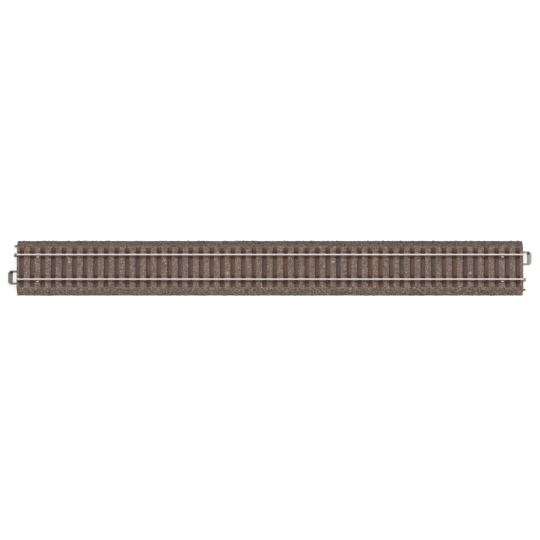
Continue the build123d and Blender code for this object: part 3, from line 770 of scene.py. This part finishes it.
def add_chairs():
    """Four chairs on each sleeper, two to a rail."""
    points, pattern = chair_mesh()
    painted_lighting = [0.40 + 0.3 * min(max(height, 0) / CHAIR_LIT_HEIGHT, 1) for height in points[:, 2]]
    rng = np.random.default_rng(23)
    vertices, faces, shades = [], [], []
    for centre in sleeper_centres():
        for rail in (-RAIL_Y, RAIL_Y):
            for side in (-1, 1):
                start = len(vertices)
                turned = points * (side, side, 1)
                tint = 0.5 * rng.random()
                vertices += [tuple(p) for p in turned + (centre, rail, SLEEPER_TOP)]
                # Each chair is darkened all over, and painted shade darkens it low down
                shades += [(tint, light, 0.9, 1) for light in painted_lighting]
                faces += [tuple(start + k for k in face) for face in pattern]
    piece = make_piece("rail_chairs", vertices, faces, SLEEPER_WOOD)
    paint(piece, "plank", shades)


# ---- metal and small parts --------------------------------------------------------------------
def rounded(node, body, material, width):
    """A copy of a CAD node with its sharp edges rounded, in its place."""
    source = frame["nodes"][node]
    built = bmesh.new()
    built.from_mesh(source.data)
    bmesh.ops.remove_doubles(built, verts=built.verts, dist=WELD_DISTANCE)
    bmesh.ops.dissolve_limit(built, angle_limit=FLAT_ANGLE, verts=built.verts, edges=built.edges)
    bmesh.ops.bevel(
        built, geom=sharp_edges(built, 32), offset=width, segments=2, profile=0.6, affect="EDGES",
        clamp_overlap=True)
    for face in built.faces:
        face.smooth = True
    mesh = bpy.data.meshes.new(node + "_looks")
    built.to_mesh(mesh)
    built.free()
    mesh.set_sharp_from_angle(angle=SMOOTH_ANGLE)
    mesh.materials.append(material)
    piece = bpy.data.objects.new(node + "_looks", mesh)
    bpy.context.scene.collection.objects.link(piece)
    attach(piece, body)
    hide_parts(node)


def add_small_parts():
    """The latches, contacts, pins and rivets."""
    for side in ("left", "right"):
        rounded(f"latch_loop_{side}", f"latch_loop_{side}", LATCH_STEEL, WIRE_EDGE)
        rounded(f"contact_spring_{side}", f"contact_spring_{side}", BRONZE, THIN_EDGE)
        rounded(f"contact_tongue_{side}", BODY, TINNED, TONGUE_EDGE)
        rounded(f"loop_retainer_{side}", BODY, RETAINER_PLASTIC, MOULDED_EDGE)
        rounded(f"locating_pin_{side}", BODY, PIN_STEEL, STAMPED_EDGE)
        for line in ("near", "far"):
            rounded(f"contact_plate_{side}_{line}", BODY, TINNED, STAMPED_EDGE)
    for node in ("plate_rivets", "retainer_rivets"):
        rounded(node, BODY, BRASS, THIN_EDGE)


def finish_cad_nodes():
    """The CAD nodes whose shape is right, with their own materials."""
    finishes = {"roadbed": BED_PLASTIC, "rail_near": NICKEL_SILVER, "rail_far": NICKEL_SILVER}
    for node, material in finishes.items():
        for slot in frame["nodes"][node].material_slots:
            slot.material = material


# ---- studio -----------------------------------------------------------------------------------
FLOOR_RADIUS = 5.0
FLOOR_SIDES = 64
COVE_RADIUS = 1.6               # the backdrop curves up to this height
COVE_STEPS = 12
FLOOR_GLOW = 0.72
SHADOW_GLOW = 0.08             # the floor's lower glow under the object, a painted shadow
SHADOW_FADE = 3 * MM
SURROUND = 0.40
CAMERA_DISTANCE = 1.8
CAMERA_ELEVATION = 84.3
CAMERA_REACH = 50
PIXELS_PER_METRE = 1405.0
FRAME_PIXELS = 540
SENSOR = 36.0
AIM = Vector((0, -0.00164, 0.004))


def floor_material():
    """Pale paper that glows, as on a light table, with a painted shadow under the object, where it glows
    much less.
    """
    shader = Shader("floor_paper")
    grain = shader.noise(scale=1.0, detail=2.0, rough=0.5, squeeze=(0.05, 0.05, 0.05))
    # A painted shadow: the glow drops under the object's footprint
    painted_shadow_area = shader.inside(END_X, BASE_HALF, SHADOW_FADE)
    shader.set(
        Base_Color=shader.ramp(grain, [(0.3, (0.29, 0.29, 0.29)), (0.7, (0.31, 0.31, 0.31))]),
        Emission_Color=(1, 1, 1, 1),
        Emission_Strength=shader.span(painted_shadow_area, FLOOR_GLOW, SHADOW_GLOW),
        Roughness=0.9,
        Specular_IOR_Level=0.2,
    )
    return shader.material


def add_floor():
    """A plain round sheet that curves up far away."""
    profile = [(FLOOR_RADIUS, 0.0)]
    for step in range(1, COVE_STEPS + 1):
        turn = math.radians(90 * step / COVE_STEPS)
        profile.append((FLOOR_RADIUS + COVE_RADIUS * math.sin(turn), COVE_RADIUS * (1 - math.cos(turn))))
    angles = [math.tau * k / FLOOR_SIDES for k in range(FLOOR_SIDES)]
    vertices = [
        (radius * math.cos(angle), radius * math.sin(angle), height)
        for radius, height in profile for angle in angles
    ]
    faces = [tuple(range(FLOOR_SIDES))]
    for ring in range(len(profile) - 1):
        low, high = ring * FLOOR_SIDES, (ring + 1) * FLOOR_SIDES
        for k in range(FLOOR_SIDES):
            n = (k + 1) % FLOOR_SIDES
            faces.append((low + k, low + n, high + n, high + k))
    mesh = bpy.data.meshes.new("floor")
    mesh.from_pydata(vertices, [], faces)
    for face in mesh.polygons[1:]:
        face.use_smooth = True
    mesh.materials.append(floor_material())
    floor = bpy.data.objects.new("floor", mesh)
    bpy.context.scene.collection.objects.link(floor)


def add_lamp(name, azimuth, elevation, softness, share):
    """A far soft lamp. Share is what it adds to a white sheet on the floor, where 1 is white."""
    light = bpy.data.lights.new(name, "SUN")
    turn, rise = math.radians(azimuth), math.radians(elevation)
    light.angle = math.radians(softness)
    light.energy = share * math.pi / math.sin(rise)
    lamp = bpy.data.objects.new(name, light)
    place = Vector((math.cos(turn) * math.cos(rise), math.sin(turn) * math.cos(rise), math.sin(rise)))
    lamp.location = place
    lamp.rotation_euler = place.to_track_quat("Z", "Y").to_euler()
    bpy.context.scene.collection.objects.link(lamp)


def add_studio():
    """A key from the right, soft light from above, some from behind, and a pale surround."""
    scene = bpy.context.scene
    scene.view_settings.view_transform = "Standard"
    world = bpy.data.worlds.new("studio")
    world.use_nodes = True
    background = world.node_tree.nodes["Background"]
    background.inputs["Color"].default_value = (1.0, 1.0, 1.0, 1)
    background.inputs["Strength"].default_value = SURROUND
    scene.world = world
    add_lamp("key", azimuth=8, elevation=33, softness=5, share=0.66)
    add_lamp("overhead", azimuth=0, elevation=88, softness=60, share=0.36)
    add_lamp("back", azimuth=95, elevation=60, softness=30, share=0.18)


def add_camera():
    """Almost straight down, tilted a little towards the near side."""
    camera_data = bpy.data.cameras.new("camera")
    camera_data.sensor_width = SENSOR
    camera_data.lens = PIXELS_PER_METRE * CAMERA_DISTANCE * SENSOR / FRAME_PIXELS
    camera_data.clip_end = CAMERA_REACH
    camera = bpy.data.objects.new("camera", camera_data)
    rise = math.radians(CAMERA_ELEVATION)
    camera.location = AIM + CAMERA_DISTANCE * Vector((0, -math.cos(rise), math.sin(rise)))
    camera.rotation_euler = (AIM - camera.location).to_track_quat("-Z", "Y").to_euler()
    bpy.context.scene.collection.objects.link(camera)
    bpy.context.scene.camera = camera


add_ballast()
add_sleepers()
add_chairs()
add_small_parts()
finish_cad_nodes()
add_floor()
add_studio()
add_camera()
